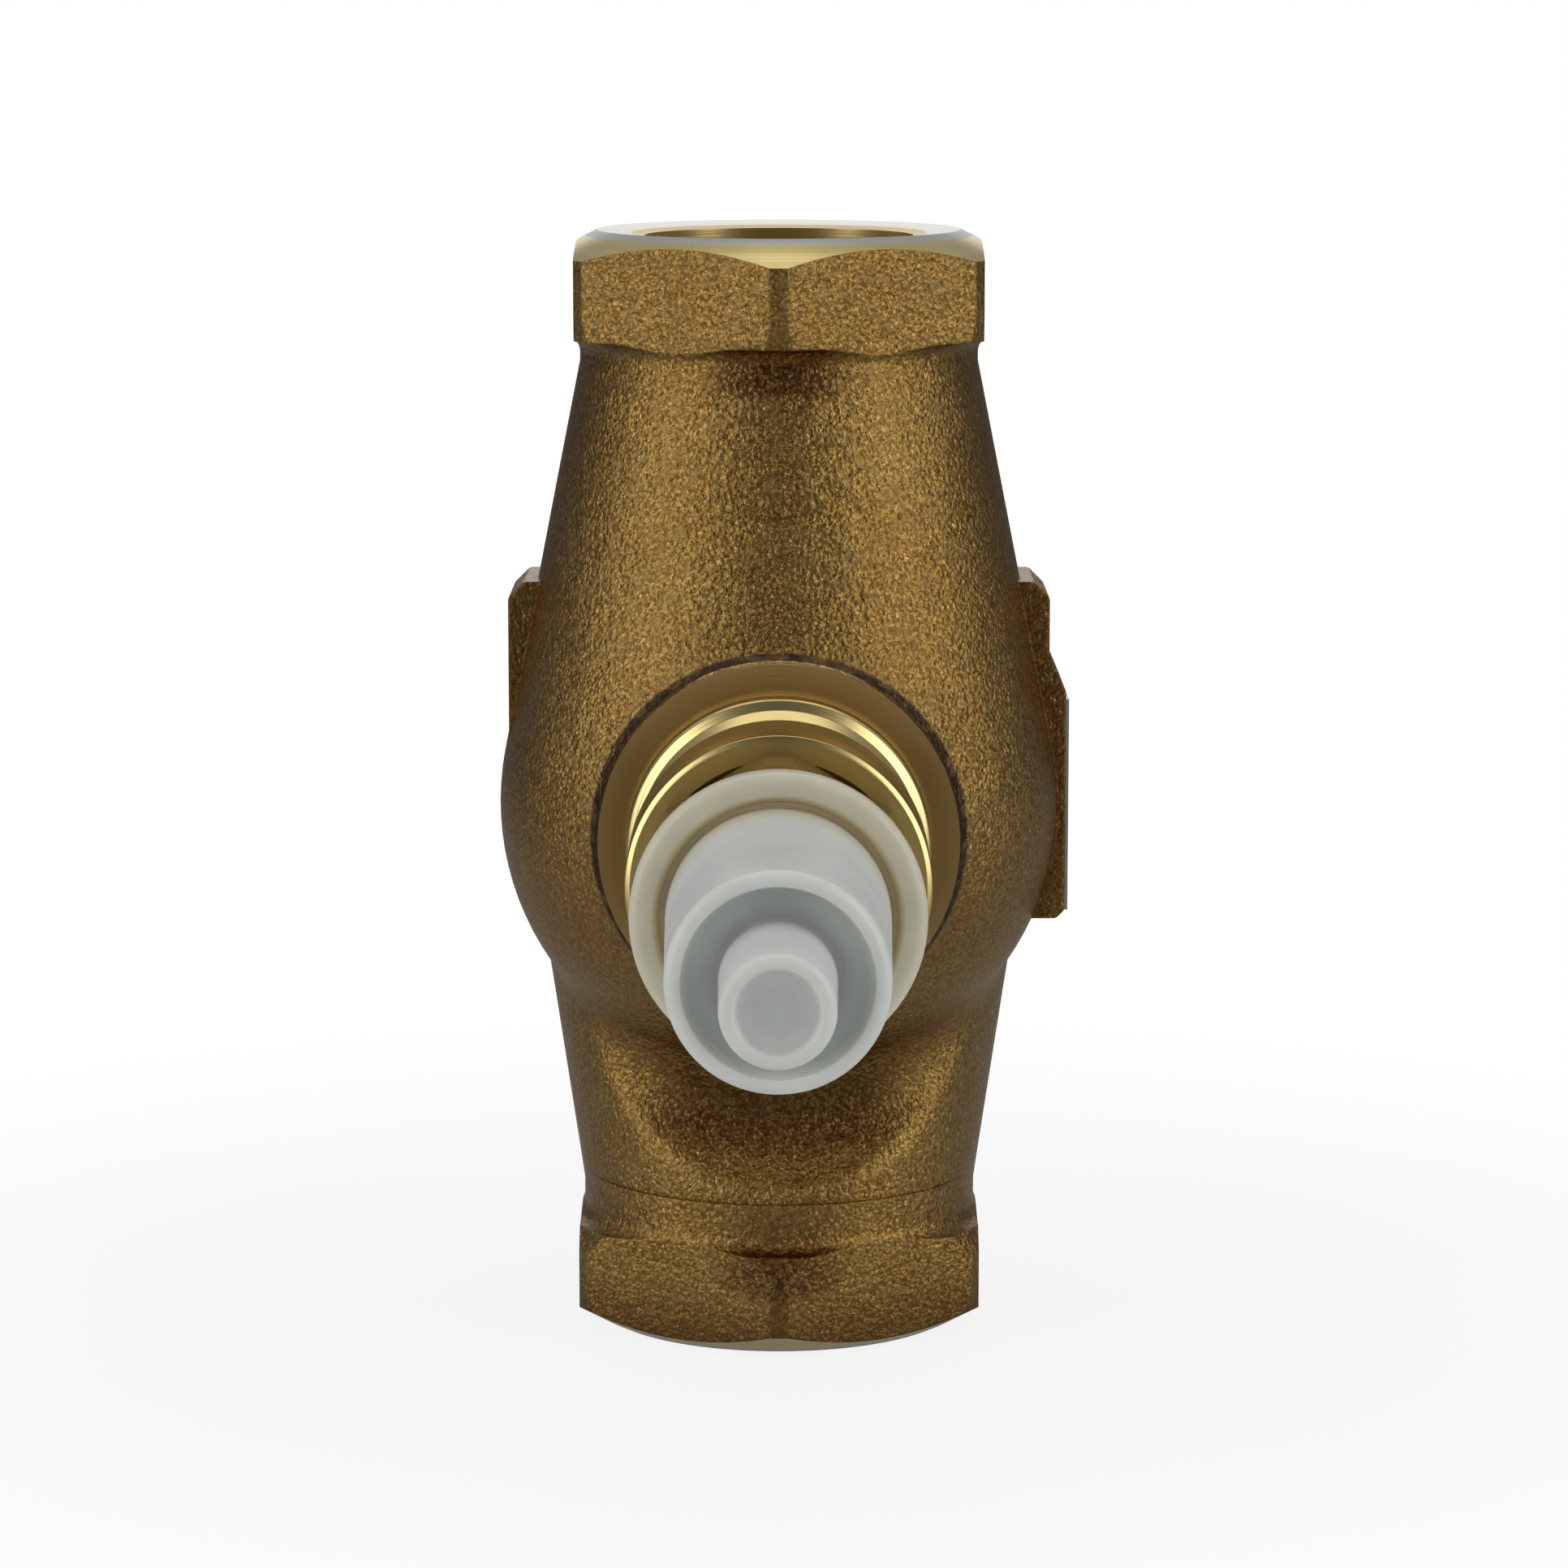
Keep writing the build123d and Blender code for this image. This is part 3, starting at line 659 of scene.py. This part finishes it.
def spunPiece(name, outline, steps):
    # the outline is drawn point by point from one vertex, in mm from the bonnet axis and along it
    places = [Vector((radius / mmPerMetre, -distance / mmPerMetre, axisHeight))
              for radius, distance in outline]
    deselectAll()
    bpy.ops.mesh.primitive_plane_add(size=0.001, location=(0, 0, 0))
    piece = bpy.context.object
    rename(piece, name)
    bpy.ops.object.mode_set(mode="EDIT")
    bpy.ops.mesh.select_mode(type="VERT")
    bpy.ops.mesh.select_all(action="SELECT")
    bpy.ops.mesh.merge(type="CENTER")
    bpy.ops.transform.translate(value=places[0])
    for here, there in zip(places, places[1:] + places[:1]):
        bpy.ops.mesh.extrude_region_move(TRANSFORM_OT_translate={"value": there - here})
    bpy.ops.mesh.select_all(action="SELECT")
    bpy.ops.mesh.spin(steps=steps, angle=2 * math.pi, center=(0, 0, axisHeight), axis=(0, 1, 0))
    bpy.ops.mesh.select_all(action="SELECT")
    bpy.ops.mesh.remove_doubles(threshold=mergeReach)
    bpy.ops.mesh.normals_make_consistent(inside=False)
    bpy.ops.object.mode_set(mode="OBJECT")
    return piece


def roundRing(piece, radius, distance, size, segments):
    # rounds the circular edge at one radius and distance, in mm
    def onRing(vertex):
        place = vertex.co
        across = math.hypot(place.x, place.z - axisHeight) - radius / mmPerMetre
        along = -place.y - distance / mmPerMetre
        return abs(across) < placeSlack and abs(along) < placeSlack

    pick(piece)
    bpy.ops.object.mode_set(mode="EDIT")
    bpy.ops.mesh.select_mode(type="EDGE")
    bpy.ops.mesh.select_all(action="DESELECT")
    bpy.ops.object.mode_set(mode="OBJECT")
    vertices = piece.data.vertices
    for edge in piece.data.edges:
        edge.select = all(onRing(vertices[index]) for index in edge.vertices)
    bpy.ops.object.mode_set(mode="EDIT")
    bpy.ops.mesh.bevel(offset=size / mmPerMetre, segments=segments, affect="EDGES")
    bpy.ops.object.mode_set(mode="OBJECT")


# outlines are (radius, distance) pairs in mm, and rounds are (radius, distance, size, segments)
turnedBonnet = {
    "outline": [(14.0, 24.0), (16.5, 24.0), (16.5, 37.5), (18.1, 37.5), (18.1, 40.35), (16.8, 41.2),
                (15.8, 42.7), (15.8, 53.5), (17.5, 53.5), (17.5, 65.45), (16.9, 65.8), (14.7, 65.8),
                (13.0, 64.1), (13.0, 59.0), (8.5, 59.0), (8.5, 44.0), (7.0, 44.0), (7.0, 33.0),
                (14.0, 33.0)],
    "rounds": [(18.1, 37.5, 0.5, 4), (18.1, 40.35, 0.4, 4), (16.8, 41.2, 0.12, 2),
               (17.5, 53.5, 0.15, 2), (17.5, 65.45, 0.1, 2)],
    "steps": 160,
    "smoothAngle": 30,
}

milkyCap = {
    "outline": [(10.5, 83.0), (16.45, 83.0), (16.45, 85.7), (13.6, 85.7), (13.1, 84.9), (12.45, 84.9),
                (11.8, 121.0), (10.1, 121.0), (10.1, 118.6), (6.2, 117.9), (6.0, 135.8), (4.45, 135.8),
                (4.3, 135.0), (0.0, 135.0), (0.0, 133.5), (4.5, 133.5), (4.5, 117.0), (10.5, 117.0)],
    "rounds": [(16.45, 85.7, 1.2, 6), (13.6, 85.7, 0.45, 5), (11.8, 121.0, 1.2, 8),
               (10.1, 121.0, 0.25, 4), (10.1, 118.6, 0.9, 5), (6.2, 117.9, 0.8, 5),
               (6.0, 135.8, 1.1, 8), (4.45, 135.8, 0.35, 4), (4.3, 135.0, 0.3, 3)],
    "steps": 128,
    "smoothAngle": 30,
}


def spunAndRounded(name, values, material, node):
    piece = spunPiece(name, values["outline"], values["steps"])
    for radius, distance, size, segments in values["rounds"]:
        roundRing(piece, radius, distance, size, segments)
    piece.data.materials.append(material)
    smoothByAngle(piece, values["smoothAngle"])
    finishPiece(piece, "valve", [node])


spunAndRounded("turnedBonnet", turnedBonnet, turned["turnedBrass"], "bonnet")
spunAndRounded("milkyCap", milkyCap, plastic, "protective_cap")
print("bonnet and cap spun")


# the other pieces keep the CAD shape: material, first word of the name, body, slot and nodes
dressings = [
    (turned["turnedBrass"], "brass", "valve", "turned_brass", ["gland_nut", "seat_ring"]),
    (turned["turnedBrass"], "brass", "stem_assembly", "turned_brass", ["throttle_plug", "disc_holder"]),
    (plain["turnedSteel"], "steel", "stem_assembly", "steel",
     ["stem", "plug_nut", "stem_locknut", "stem_button"]),
    (plain["turnedSteel"], "steel", "valve", "steel", ["packing_spring"]),
    (plain["whiteSeal"], "seal", "stem_assembly", "seal_plastic", ["seat_disc"]),
    (plain["whiteSeal"], "seal", "valve", "seal_plastic",
     ["bonnet_gasket", "guide_bush", "packing_adapter", "packing_header", "wiper_ring",
      "packing_ring_1", "packing_ring_2", "packing_ring_3"]),
    (plain["blackRubber"], "seal", "valve", "seal_rubber", ["gland_o_ring"]),
    (plain["plateMetal"], "thin", "valve", "plate_aluminium", ["type_plate"]),
]

for material, firstWord, body, slot, nodes in dressings:
    for node in nodes:
        dressed = mergedCopy(node, firstWord + node.title().replace("_", ""))
        dressed.data.materials.append(material)
        finishPiece(dressed, body, [node])
print("bonnet pieces dressed")


# reaches are in metres on the floor, and in the parts of a direction in the world
studio = {
    "floorSize": 8.0,
    "floorDrop": 0.00001,
    "floorColor": (0.86, 0.86, 0.86, 1),
    "floorRoughness": 0.9,
    "whiteReach": (0.06, 0.20),
    "whiteShare": (0.86, 1.0),
    "mirrorReach": (-0.05, 0.8),
    "mirrorFloor": (0.25, 0.10),
    "worldSoft": 0.30,
    "dim": 0.06,
    "aboveFrom": (0.15, 0.6),
    "aboveBehind": (0.05, 0.35),
    "above": 0.35,
    "panelSides": (0.28, 0.18),
    "panelBehind": (0.80, 0.88),
    "panelBase": (0.0, 0.06),
    "panel": 1.0,
}


def rayShares(tree, x, y):
    # camera rays, and rays that come by way of gloss or glass
    path = addNode(tree, "ShaderNodeLightPath", x, y).outputs
    mirrored = numberMath(tree, x + 200, y, "MAXIMUM", path["Is Glossy Ray"], path["Is Transmission Ray"])
    return path["Is Camera Ray"], mirrored


def studioFloor():
    # white where the camera sees it, but for the object's shadow, and dimmer in the metal
    values = studio
    deselectAll()
    bpy.ops.mesh.primitive_plane_add(size=values["floorSize"], location=(0, 0, -values["floorDrop"]))
    floor = bpy.context.object
    floor.name = "floor"
    settle(floor)
    material, tree, shader = newMaterial("paleFloor")
    feed(tree, shader, {"Base Color": values["floorColor"], "Roughness": values["floorRoughness"],
                        "Specular IOR Level": 0.0})
    place = objectPlace(tree, -1400, -200)
    away = vectorMath(tree, -1200, -200, "LENGTH", place)
    whiteShare = spread(tree, -1000, -200, away, values["whiteReach"], values["whiteShare"])
    y = splitPlace(tree, -1200, -500, place)[1]
    mirrorGlow = spread(tree, -1000, -500, y, values["mirrorReach"], values["mirrorFloor"])
    seen, mirrored = rayShares(tree, -1200, 300)
    seenWhite = numberMath(tree, -700, 200, "MULTIPLY", seen, whiteShare)
    share = numberMath(tree, -500, 200, "MAXIMUM", seenWhite, mirrored)
    glow = numberMath(tree, -700, -300, "MULTIPLY", mirrored, mirrorGlow)
    white = addNode(tree, "ShaderNodeEmission", -200, -300, {
        "Color": (1, 1, 1, 1), "Strength": numberMath(tree, -500, -300, "ADD", seen, glow)})
    mix = addNode(tree, "ShaderNodeMixShader", 100, 100,
                  {0: share, 1: shader.outputs[0], 2: white.outputs[0]})
    feed(tree, tree.nodes["Material Output"], {"Surface": mix.outputs[0]})
    floor.data.materials.append(material)


def studioWorld():
    # white where the camera sees it, dim in front and with a pale panel behind the object
    values = studio
    world = bpy.data.worlds.new("studioWorld")
    bpy.context.scene.world = world
    world.use_nodes = True
    tree = world.node_tree
    way = addNode(tree, "ShaderNodeTexCoord", -1200, 0).outputs["Generated"]
    x, y, z = splitPlace(tree, -1000, 0, way)
    rise = spread(tree, -800, 50, z, values["aboveFrom"], (0.0, values["above"]))
    rear = spread(tree, -800, 200, y, values["aboveBehind"])
    above = numberMath(tree, -700, 100, "MULTIPLY", rise, rear)
    higher = numberMath(tree, -600, 100, "ADD", above, values["dim"])
    sideways = numberMath(tree, -1000, -300, "ABSOLUTE", x)
    narrow = spread(tree, -800, -300, sideways, values["panelSides"], (0.0, values["panel"]))
    behind = spread(tree, -800, -500, y, values["panelBehind"])
    over = spread(tree, -800, -700, z, values["panelBase"])
    upright = numberMath(tree, -600, -400, "MULTIPLY", narrow, behind)
    panel = numberMath(tree, -600, -200, "MULTIPLY", upright, over)
    glow = numberMath(tree, -500, 0, "MAXIMUM", higher, panel)
    seen, mirrored = rayShares(tree, -1000, 500)
    soft = spread(tree, -600, 400, mirrored, (0.0, 1.0), (values["worldSoft"], 0.0))
    glossy = numberMath(tree, -400, 0, "MULTIPLY", glow, mirrored)
    either = numberMath(tree, -300, 200, "ADD", glossy, soft)
    feed(tree, tree.nodes["Background"], {
        "Color": (1, 1, 1, 1), "Strength": numberMath(tree, -200, 400, "MAXIMUM", seen, either)})


studioFloor()
studioWorld()
print("stage built")


# azimuth 0 is the camera's side and positive to the camera's right, and angles are in degrees
lampAim = (0, 0, 0.07)
lamps = {
    "left": {"azimuth": -61, "elevation": 20, "distance": 1.0, "size": (0.32, 0.95), "power": 2.85,
             "lean": -8},
    "right": {"azimuth": 63, "elevation": 20, "distance": 1.0, "size": (0.32, 0.95), "power": 2.95,
              "lean": 6},
    "top": {"azimuth": 180, "elevation": 83, "distance": 0.9, "size": (0.90, 0.54), "power": 1.65,
            "lean": 0},
}


def addLamp(name, values):
    turn, rise = math.radians(values["azimuth"]), math.radians(values["elevation"])
    way = Vector((math.sin(turn) * math.cos(rise), -math.cos(turn) * math.cos(rise), math.sin(rise)))
    light = bpy.data.lights.new(name, "AREA")
    light.shape = "RECTANGLE"
    light.size, light.size_y = values["size"]
    light.energy = values["power"]
    lamp = bpy.data.objects.new(name, light)
    bpy.context.collection.objects.link(lamp)
    lamp.location = Vector(lampAim) + way * values["distance"]
    lean = Quaternion((0, 0, 1), math.radians(values["lean"]))
    lamp.rotation_euler = (way.to_track_quat("Z", "Y") @ lean).to_euler()


for lampName, lampValues in lamps.items():
    addLamp(lampName + "Softbox", lampValues)

view = {"place": (0.00062, -0.64317, 0.17081), "tilt": 80.869, "lens": 118.84, "sensor": 36, "far": 50}
deselectAll()
bpy.ops.object.camera_add(location=view["place"], rotation=(math.radians(view["tilt"]), 0, 0))
camera = bpy.context.object
camera.data.sensor_width = view["sensor"]
camera.data.lens = view["lens"]
camera.data.clip_end = view["far"]
bpy.context.scene.camera = camera
bpy.context.scene.view_settings.view_transform = "Standard"
print("lamps and camera set")
